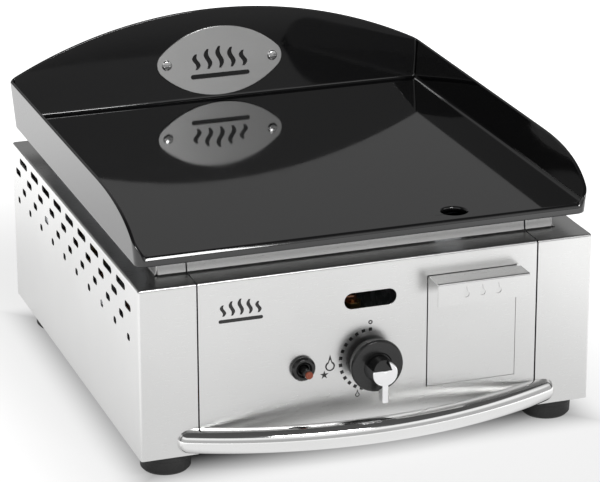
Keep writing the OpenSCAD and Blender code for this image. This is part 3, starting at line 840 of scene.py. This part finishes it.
def plate_and_guard():
    """The pressed plate, its rolled lip and the three walls as one enamelled shell."""
    stations = guard_stations()
    verts, faces = [], []
    for station in stations:
        verts += [guard_point(station, a, b) for a, b in guard_profile(station[3])]
    count = len(verts) // len(stations)
    total = len(stations)
    for s in range(total):
        for k in range(count - 1):
            a, b = s * count + k, ((s + 1) % total) * count + k
            faces.append((a, b, b + 1, a + 1))
    x, y, r = DRAIN
    rim = [(r + 1.9, PLATE_TOP), (r + 1.3, PLATE_TOP - 0.12), (r + 0.7, PLATE_TOP - 0.5),
           (r + 0.25, PLATE_TOP - 1.1), (r, PLATE_TOP - 2.0), (r, PLATE_UNDER)]
    start, around = len(verts), 48
    verts, faces = merged([(verts, faces), revolved(rim, along_z(x, y), around)])
    under_ring = start + (len(rim) - 1) * around
    loops = ((range(count - 1, total * count, count), range(start, start + around)),
             (range(0, total * count, count), range(under_ring, under_ring + around)))
    for outer, inner in loops:
        faces += between_loops(verts, outer, inner, (x, y))
    obj = solid("plate_and_guard", verts, faces)
    finish(obj, "black_enamel", "casing", ["griddle_plate", "splash_guard"], edge=0)


# ---- Badge on the back wall ----


BADGE_UP = 44.4
BADGE_HALF = 61.3
BADGE_RISE = 32.75
BADGE_END_R = 13.0
BADGE_SCREW_X = 51.8


def on_wall(x, up, out):
    """A point on the back wall's inner face, that far up it and that far out from it."""
    c, s = cos(LEAN), sin(LEAN)
    back = -GUARD_T - out
    return (x, GUARD_BACK + back * c + up * s, GUARD_FOOT - back * s + up * c)


def badge_outline():
    """A lens with rounded ends: two wide arcs joined by two small ones that they touch."""
    reach = BADGE_HALF - BADGE_END_R
    radius = (reach ** 2 + BADGE_RISE ** 2 - BADGE_END_R ** 2) / (2 * (BADGE_RISE - BADGE_END_R))
    drop = radius - BADGE_RISE
    turn = atan2(drop, reach)
    arcs = ((0, -drop, radius, turn, pi - turn, 48),
            (-reach, 0, BADGE_END_R, pi - turn, pi + turn, 18),
            (0, drop, radius, pi + turn, 2 * pi - turn, 48),
            (reach, 0, BADGE_END_R, -turn, turn, 18))
    points = []
    for x, z, r, first, last, steps in arcs:
        for t in spread(first, last, steps):
            points.append((x + r * cos(t), z + r * sin(t)))
    return points


def wave_outline(x, low, high, width, sway, steps=14):
    """A rising heat wave: an S-shaped stroke that thins at both ends."""
    left, right = [], []
    for k in range(steps + 1):
        t = k / steps
        middle = x + sway * sin(2 * pi * t)
        half = width / 2 * (0.45 + 0.55 * sin(pi * t))
        up = low + (high - low) * t
        left.append((middle - half, up))
        right.append((middle + half, up))
    return left + right[::-1]


def heat_sign(x, z, scale):
    """A generic sign for a hot surface: five heat waves over a slim bar."""
    outlines = []
    for i, tall in zip(range(-2, 3), (15.0, 19.0, 21.0, 19.0, 15.0)):
        outlines.append(wave_outline(x + i * 11.5 * scale, z - 5 * scale, z + (tall - 5) * scale,
                                     5.2 * scale, 1.9 * scale))
    outlines.append(slot_outline(x, z - 11.5 * scale, 58 * scale, 4.6 * scale))
    return outlines


def lay_brushing(obj):
    """A UV map whose first axis runs across the scratches, which is where their highlights stretch."""
    mesh = obj.data
    layer = mesh.uv_layers.new(name="brushing")
    for loop in mesh.loops:
        spot = mesh.vertices[loop.vertex_index].co
        layer.data[loop.index].uv = (spot.z, spot.x)


def badge():
    outline = badge_outline()
    levels = ((0.02, 0.0), (0.8, 0.0), (1.05, 0.12), (1.2, 0.4))
    obj = solid("badge_plate_face", *stacked(outline, levels, (0.0, BADGE_UP), on_wall))
    cut_outlines(obj, heat_sign(0, BADGE_UP - 2.2, 1.0), -0.5, 2.5, on_wall)
    sharpen(obj, 15)
    lay_brushing(obj)
    finish(obj, "brushed_badge", "casing", ["badge_plate"])
    for number, side in enumerate((-1, 1)):
        badge_screw(number, side * BADGE_SCREW_X)


def badge_screw(number, x):
    """A domed screw with a slit."""
    def place(u, v, along):
        return on_wall(x + u, BADGE_UP + v, along)

    dome = rounded([(0, -4.0), (1.9, -4.0), (1.9, 1.2), (4.9, 1.2), (4.9, 1.6, 0.3), (3.7, 2.9, 1.7),
                    (0, 3.3)], 5)
    screw = solid(f"badge_screw_{number}", *revolved(dome, place, 32))
    low, high = BADGE_UP - 0.6, BADGE_UP + 0.6
    cut(screw, *prism([(x - 6, low), (x + 6, low), (x + 6, high), (x - 6, high)], 2.1, 4.5, on_wall))
    finish(screw, "bright_screws", "casing", ["badge_screws"], edge=0.12)


# ---- Rail and feet ----


def rail_rings():
    """Rings of the rail as (turn along its bow, distance past that turn, radius), with domed ends."""
    steps, cap_steps = 90, 10
    sweep = asin(RAIL_END_X / RAIL_BOW)
    rings = [(sweep * (-1 + 2 * k / steps), 0.0, RAIL_R) for k in range(steps + 1)]
    for k in range(1, cap_steps + 1):
        turn = radians(87) * k / cap_steps
        past, radius = RAIL_R * sin(turn), RAIL_R * cos(turn)
        rings.insert(0, (-sweep, -past, radius))
        rings.append((sweep, past, radius))
    return rings


def rail():
    """A bowed rail; whatever would pass through the front sheet stops inside its thickness."""
    sides = 40
    rings = rail_rings()
    verts = []
    for along, past, radius in rings:
        x = RAIL_BOW * sin(along) + past * cos(along)
        y = RAIL_CENTRE_Y - RAIL_BOW * cos(along) + past * sin(along)
        for i in range(sides):
            turn = 2 * pi * i / sides
            out = radius * cos(turn)
            verts.append((x + sin(along) * out, min(y - cos(along) * out, RAIL_STOP_Y),
                          RAIL_Z + radius * sin(turn)))
    obj = solid("rail_tube", verts, ring_faces(sides, len(rings)))
    finish(obj, "polished_rail", "casing", ["front_rail"], edge=0)


def feet():
    """Round rubber feet, hollow below and with a hole for their screw."""
    profile = rounded([(3.3, 0), (22.5, 0, 0.8), (22.5, -5, 0.8), (21.6, -6.2, 0.8), (21.2, -15.5, 1.0),
                       (19.0, -18, 1.2), (8.5, -18, 0.5), (8.5, -9, 0.5), (3.3, -9), (3.3, 0)], 3)
    for end, y in (("front", FOOT_FRONT_Y), ("rear", FOOT_REAR_Y)):
        for side, x in (("left", -FOOT_X), ("right", FOOT_X)):
            name = f"foot_{end}_{side}"
            obj = solid(name + "_rubber", *revolved(profile, along_z(x, y)))
            finish(obj, "rubber", "casing", [name], edge=0)


# ---- Controls ----


def wedge(base, rise, low_y, high_y, left, low_right, high_right):
    """A corner to take off the knob's grip, from base above the knob's axis up by rise. Its floor slopes
    from low_y to high_y and its right side leans from low_right to high_right."""
    corners = [(left, base, low_y), (low_right, base, low_y), (high_right, base + rise, high_y),
               (left, base + rise, high_y)]
    verts = [(x, -45.0, CONTROL_Z + z) for x, z, _ in corners]
    verts += [(x, y, CONTROL_Z + z) for x, z, y in corners]
    faces = [(0, 1, 2, 3), (7, 6, 5, 4), (0, 4, 5, 1), (1, 5, 6, 2), (2, 6, 7, 3), (3, 7, 4, 0)]
    return verts, faces


def knob():
    """A skirt, a chrome cap with a corner taken off, the black core seen through it and a pointer."""
    skirt = rounded([(3.05, -5), (7, -5), (7, -13.5), (18.6, -13.5), (18.6, -5), (20.0, -5, 0.4),
                     (23.0, -15.6, 1.5), (22.2, -18.3, 1.4), (12.6, -18.9, 0.6), (11.8, -18.2, 0.5),
                     (3.05, -18.2), (3.05, -5)])
    obj = solid("knob_skirt_moulding", *revolved(skirt, along_y(0, CONTROL_Z), 96))
    finish(obj, "black_plastic", "knob", ["knob_skirt"], edge=0)

    core = rounded([(0, -18.0), (10.9, -18.0), (10.6, -35.4, 0.8), (0, -35.4)])
    obj = solid("knob_core", *revolved(core, along_y(0, CONTROL_Z), 96))
    cut(obj, *wedge(2.6, 10.0, -35.9, -30.4, -14, 5.5, 1.9))
    finish(obj, "gloss_plastic", "knob", edge=0.25)

    cap = rounded([(0, -18.3), (11.2, -18.3, 0.3), (10.8, -36, 1.0), (0, -36)], 5)
    obj = solid("knob_cap", *revolved(cap, along_y(0, CONTROL_Z), 96))
    cut(obj, *wedge(2.9, 10.0, -15.0, -15.0, -14, 5.9, 2.3))
    cut(obj, *block((-14, 14), (-31.5, -15), (CONTROL_Z + 2.9, CONTROL_Z + 14)))
    finish(obj, "chrome_grip", "knob", ["knob_grip"], edge=0.3)

    tail = [(-2.6, -8), (-2.6, -25.2), (-1.9, -26), (1.9, -26), (2.6, -25.2), (2.6, -8)]
    tail = [(x, CONTROL_Z + z) for x, z in tail]
    obj = solid("knob_pointer", *prism(tail, -35.9, -27, through_front))
    soften(obj, 0.6, 3)
    finish(obj, "chrome_grip", "knob")


def igniter():
    """A collar on the panel, and the stem and red button that are pushed through it."""
    collar = rounded([(4.6, 8), (6.9, 8), (6.9, 0), (10.6, 0), (10.6, -3.0, 0.8), (9.0, -5.4, 1.4),
                      (7.0, -5.6, 0.8), (5.4, -3.6, 0.8), (4.6, -3.6), (4.6, 8)])
    obj = solid("igniter_bezel", *revolved(collar, along_y(IGNITER_X, CONTROL_Z)))
    finish(obj, "black_plastic", "casing", ["igniter_collar"], edge=0)

    stem = rounded([(0, 22), (2.4, 22), (2.4, 10), (4.2, 10), (4.2, 2), (3.9, 1.4), (3.3, 1.4),
                    (3.3, -9, 0.3), (3.9, -9.6, 0.3), (3.9, -16.0, 0.4), (3.0, -16.2), (0, -16.2)], 3)
    obj = solid("igniter_rod", *revolved(stem, along_y(IGNITER_X, CONTROL_Z), 32))
    finish(obj, "black_plastic", "igniter", ["igniter_stem"], edge=0.15)

    button = rounded([(0, -15.6), (3.3, -15.6), (3.3, -18.2, 0.9), (0, -18.6)])
    obj = solid("igniter_cap", *revolved(button, along_y(IGNITER_X, CONTROL_Z), 40))
    finish(obj, "red_plastic", "igniter", ["igniter_button"], edge=0)


# ---- Grease drawer ----


DROP_R = 2.6
DROP_PITCH = 14.4


def folded_sheet(name, path, low_x, high_x):
    """A sheet folded along a (y, z) path and as wide as low_x to high_x."""
    verts = [(x, y, z) for x in (low_x, high_x) for y, z in path]
    count = len(path)
    faces = [(k, k + 1, count + k + 1, count + k) for k in range(count - 1)]
    return new_object(name, verts, faces)


def drop_outline(x, z, steps=20):
    """A drop: a round bottom drawn up to a point."""
    points = []
    for k in range(steps + 1):
        turn = radians(158 - 316 * k / steps) - pi / 2
        points.append((x + DROP_R * cos(turn), z + DROP_R * sin(turn)))
    points.append((x, z + 7.0))
    return points


def drawer():
    """The drawer's front, folded over at its top into a pull that laps the panel beside it."""
    path = rounded([(1.0, DRAWER_Z), (1.0, DRAWER_TOP, 1.7), (-PULL_REACH, DRAWER_TOP, 1.7),
                    (-PULL_REACH, DRAWER_TOP - PULL_H)], 5)
    edge = DRAWER_X + DRAWER_HALF
    obj = folded_sheet("drawer_face", path, DRAWER_X - DRAWER_HALF, edge + PULL_LAP)
    face_outward(obj, (0, 1, 0))
    thicken(obj)
    cut(obj, *block((edge, edge + PULL_LAP + 1), (-2.8, 4), (DRAWER_Z - 5, DRAWER_TOP + 5)))
    drops = [drop_outline(DRAWER_X + i * DROP_PITCH, DRAWER_TOP - 11.5) for i in (-1, 0, 1)]
    cut_outlines(obj, drops, -PULL_REACH - 3, -PULL_REACH + 4, through_front)
    finish(obj, "stainless_sheet", "drawer", ["drawer_front"], edge=0.12)


# ---- Printed marks ----


MARK_R = 26.5
MARK_STEP = 13.6
MARK_COUNT = 14
MARK_HALF = 1.5
PRINT_T = 0.12


def strip_mesh(outer, inner):
    """A flat closed band between two loops of the same length, standing on the front face."""
    count = len(outer)
    verts, faces = [], []
    for level in (0.0, -PRINT_T):
        verts += [(a, level, b) for a, b in outer] + [(a, level, b) for a, b in inner]
    for k in range(count):
        n = (k + 1) % count
        o0, o1, i0, i1 = k, n, count + k, count + n
        top = 2 * count
        faces += [(o0, o1, i1, i0), (top + o0, top + o1, top + i1, top + i0),
                  (o0, o1, top + o1, top + o0), (i0, i1, top + i1, top + i0)]
    return verts, faces


def teardrop(x, z, radius, tip, steps=28):
    """A flame's outline as a loop that starts at its tip."""
    touch = asin(radius / tip)
    points = [(x, z + tip)]
    for k in range(steps):
        turn = touch + (2 * pi - 2 * touch) * k / (steps - 1)
        points.append((x + radius * sin(turn), z + radius * cos(turn)))
    return points


def flame(x, z, radius, tip, line):
    outer = teardrop(x, z, radius, tip)
    inner = teardrop(x, z - line * 0.15, radius - line, (tip - radius) * 0.55 + radius - line)
    return strip_mesh(outer, inner)


def star_outline(x, z, outer, inner, points=5):
    out = []
    for k in range(2 * points):
        radius = outer if k % 2 == 0 else inner
        turn = pi * k / points
        out.append((x + radius * sin(turn), z + radius * cos(turn)))
    return out


def flat_print(outline):
    return prism(outline, 0.0, -PRINT_T, through_front)


def dial_marks():
    """Square marks from the top of the knob down its left side, and the ring that says off."""
    parts = []
    for k in range(MARK_COUNT):
        turn = radians(MARK_STEP * k)
        x, z = -MARK_R * sin(turn), CONTROL_Z + MARK_R * cos(turn)
        c, s = cos(turn) * MARK_HALF, sin(turn) * MARK_HALF
        parts.append(flat_print([(x - c + s, z - s - c), (x + c + s, z + s - c),
                                 (x + c - s, z + s + c), (x - c - s, z - s + c)]))
    off_z = CONTROL_Z + 32.8
    parts.append(strip_mesh(circle_outline(0, off_z, 1.9, 20), circle_outline(0, off_z, 0.9, 20)))
    return parts


def printed_marks():
    groups = {
        "dial_scale": dial_marks(),
        "flame_large": [flame(-35.6, 62.2, 4.3, 10.6, 1.3)],
        "flame_small": [flame(-11.3, 33.2, 2.0, 5.0, 0.7)],
        "spark_star": [flat_print(star_outline(-40.7, 55.0, 3.9, 1.5))],
        "heat_sign_print": [flat_print(o) for o in heat_sign(-113.0, 122.0, 0.66)],
    }
    for name, parts in groups.items():
        obj = solid(name, *merged(parts))
        finish(obj, "black_plastic", "casing")


# ---- Rear ----


def casing_screws():
    """Domed screws with a cross slot, three down each side of the rear panel."""
    profile = rounded([(0, BODY_D - 9), (2, BODY_D - 9), (2, BODY_D), (3.8, BODY_D),
                       (3.8, BODY_D + 0.5, 0.2), (2.9, BODY_D + 1.9, 1.2), (0, BODY_D + 2.2)])
    places = [(side * (HALF_W - 10), z) for side in (-1, 1) for z in (25, 75, 125)]
    for number, (x, z) in enumerate(places):
        obj = solid(f"casing_screw_{number}", *revolved(profile, along_y(x, z), 28))
        for a, b in ((1.7, 0.4), (0.4, 1.7)):
            cut(obj, *block((x - a, x + a), (BODY_D + 1.0, BODY_D + 4), (z - b, z + b)))
        finish(obj, "zinc_steel", "casing", ["casing_screws"], edge=0.1)


def inlet_thread():
    """The gas inlet: hexagon inside the casing and a threaded spigot outside it."""
    x, z, r = INLET_X, INLET_Z, INLET_R
    inner = [(5.5, BODY_D - 24), (8, BODY_D - 24), (8, BODY_D - 9), (r - 0.2, BODY_D - 9),
             (r - 0.2, BODY_D + 6.3)]
    ridges = []
    y, pitch = BODY_D + 6.6, 1.8
    while y + pitch < BODY_D + 23.6:
        ridges += [(r - 1.0, y), (r, y + pitch * 0.42), (r, y + pitch * 0.58), (r - 1.0, y + pitch * 0.98)]
        y += pitch
    tip = [(r - 1.0, BODY_D + 23.7), (r - 1.4, BODY_D + 24), (6.1, BODY_D + 24), (5.5, BODY_D + 23.4),
           (5.5, BODY_D - 24)]
    obj = solid("gas_inlet_spigot", *revolved(inner + ridges + tip, along_y(x, z)))
    soften(obj, 0.12, 1, 50)
    finish(obj, "brass", "casing", ["gas_inlet"])
    flats = circle_outline(x, z, 15, 6)
    obj = solid("gas_inlet_hexagon", *prism(flats, BODY_D - 9, BODY_D - SHEET, through_front))
    finish(obj, "brass", "casing", edge=0.5)


# ---- CAD nodes that stay ----


def dress_nodes():
    """Every CAD node that still shows gets its own finish and softened edges."""
    for part in frame["record"]["subparts"]:
        obj = frame["nodes"][part["node"]]
        obj.data.materials.clear()
        obj.data.materials.append(MATERIALS[part["material_slot"]])
        if obj.hide_render:
            continue
        weld = obj.modifiers.new("weld", "WELD")
        weld.merge_threshold = 0.00001
        bevel = obj.modifiers.new("edges", "BEVEL")
        bevel.width = 0.2 * MM
        bevel.segments = 2
        bevel.limit_method = "ANGLE"
        bevel.angle_limit = radians(40)


# ---- Stage ----


SOFTBOX_PLACE = (0.20, -2.0, 1.96)
SOFTBOX_SIZE = (0.94, 0.50)
SOFTBOX_POWER = 29
CAMERA_PLACE = (-0.79393, -2.27773, 1.00099)
CAMERA_AIM = (0.31168, 0.88592, -0.34350)
CAMERA_ROLL = -0.158


def floor():
    """A table top with painted light: it glows, its glow is cut away under the casing's footprint as a
    painted contact shadow, and it is raised to the sides and back.
    """
    mesh = bpy.data.meshes.new("floor")
    front, far = -1.0, 14.0
    mesh.from_pydata([(-far, front, 0), (far, front, 0), (far, far, 0), (-far, far, 0)], [], [(0, 1, 2, 3)])
    obj = linked("floor", mesh)
    material, tree, shader = new_material("floor")
    shader.inputs["Base Color"].default_value = (0.17, 0.17, 0.17, 1)
    shader.inputs["Roughness"].default_value = 0.9
    shader.inputs["Specular IOR Level"].default_value = 0.1
    shader.inputs["Emission Color"].default_value = (1, 1, 1, 1)
    split = node(tree, "SeparateXYZ")
    tree.links.new(node(tree, "NewGeometry").outputs["Position"], split.inputs["Vector"])
    across = combined(tree, "ABSOLUTE", split.outputs["X"])
    back = combined(tree, "ABSOLUTE", split.outputs["Y"])
    edge = combined(tree, "MAXIMUM", across, back)
    # Painted shadow: no glow under the casing, rising to full glow just outside its footprint
    shadow_cut_glow = ranged(tree, edge, 0.0, 0.80, 0.155, 0.225, smooth=True)
    # Painted light: extra glow beside the casing and far behind it
    painted_side_glow = ranged(tree, across, 0.0, 0.38, 0.19, 0.42, smooth=True)
    painted_back_glow = ranged(tree, back, 0.0, 0.36, 0.32, 0.75, smooth=True)
    painted_floor_glow = combined(tree, "ADD", shadow_cut_glow, combined(tree, "ADD", painted_side_glow, painted_back_glow))
    tree.links.new(painted_floor_glow, shader.inputs["Emission Strength"])
    mesh.materials.append(material)


def softbox():
    """The one lamp: a wide panel, high in front and facing back."""
    data = bpy.data.lights.new("front_softbox", "AREA")
    data.shape = "RECTANGLE"
    data.size, data.size_y = SOFTBOX_SIZE
    data.energy = SOFTBOX_POWER
    obj = linked("front_softbox", data)
    obj.location = SOFTBOX_PLACE
    obj.rotation_mode = "QUATERNION"
    obj.rotation_quaternion = Vector((0, 1, 0)).to_track_quat("-Z", "Y")


def world():
    """A dim room, lighter at the back and with a pale band in front; the camera sees it plain white."""
    scene_world = bpy.data.worlds.new("studio")
    bpy.context.scene.world = scene_world
    scene_world.use_nodes = True
    tree = scene_world.node_tree
    split = node(tree, "SeparateXYZ")
    tree.links.new(node(tree, "TexCoord").outputs["Generated"], split.inputs["Vector"])
    back, up = split.outputs["Y"], split.outputs["Z"]
    room = ranged(tree, back, 0.085, 0.27, 0.3, 0.75)
    top_edge = ranged(tree, up, 1.0, 0.0, 0.62, 0.70, smooth=True)
    band = ranged(tree, up, 0.48, 1.0, 0.30, 0.50, smooth=True)
    horizon = ranged(tree, up, 0.0, 1.0, -0.14, -0.06, smooth=True)
    ahead = ranged(tree, back, 1.0, 0.0, -0.3, 0.1, smooth=True)
    for limit in (top_edge, horizon, ahead):
        band = combined(tree, "MULTIPLY", band, limit)
    seen = node(tree, "LightPath").outputs["Is Camera Ray"]
    brightest = combined(tree, "MAXIMUM", seen, combined(tree, "MAXIMUM", room, band))
    background = tree.nodes["Background"]
    background.inputs["Color"].default_value = (1, 1, 1, 1)
    tree.links.new(brightest, background.inputs["Strength"])


def camera():
    data = bpy.data.cameras.new("camera")
    data.lens = 173.36
    data.sensor_width = 36.0
    data.clip_end = 60
    obj = linked("camera", data)
    obj.location = CAMERA_PLACE
    obj.rotation_mode = "QUATERNION"
    roll = Matrix.Rotation(radians(CAMERA_ROLL), 3, "Z").to_quaternion()
    obj.rotation_quaternion = Vector(CAMERA_AIM).to_track_quat("-Z", "Y") @ roll
    bpy.context.scene.camera = obj


side_panel("left_side_sheet", -1, "left_side_panel")
side_panel("right_side_sheet", 1, "right_side_panel")
front_panel()
rear_panel()
plate_and_guard()
badge()
rail()
feet()
knob()
igniter()
drawer()
printed_marks()
casing_screws()
inlet_thread()
dress_nodes()
floor()
softbox()
world()
camera()
bpy.context.scene.view_settings.view_transform = "Standard"
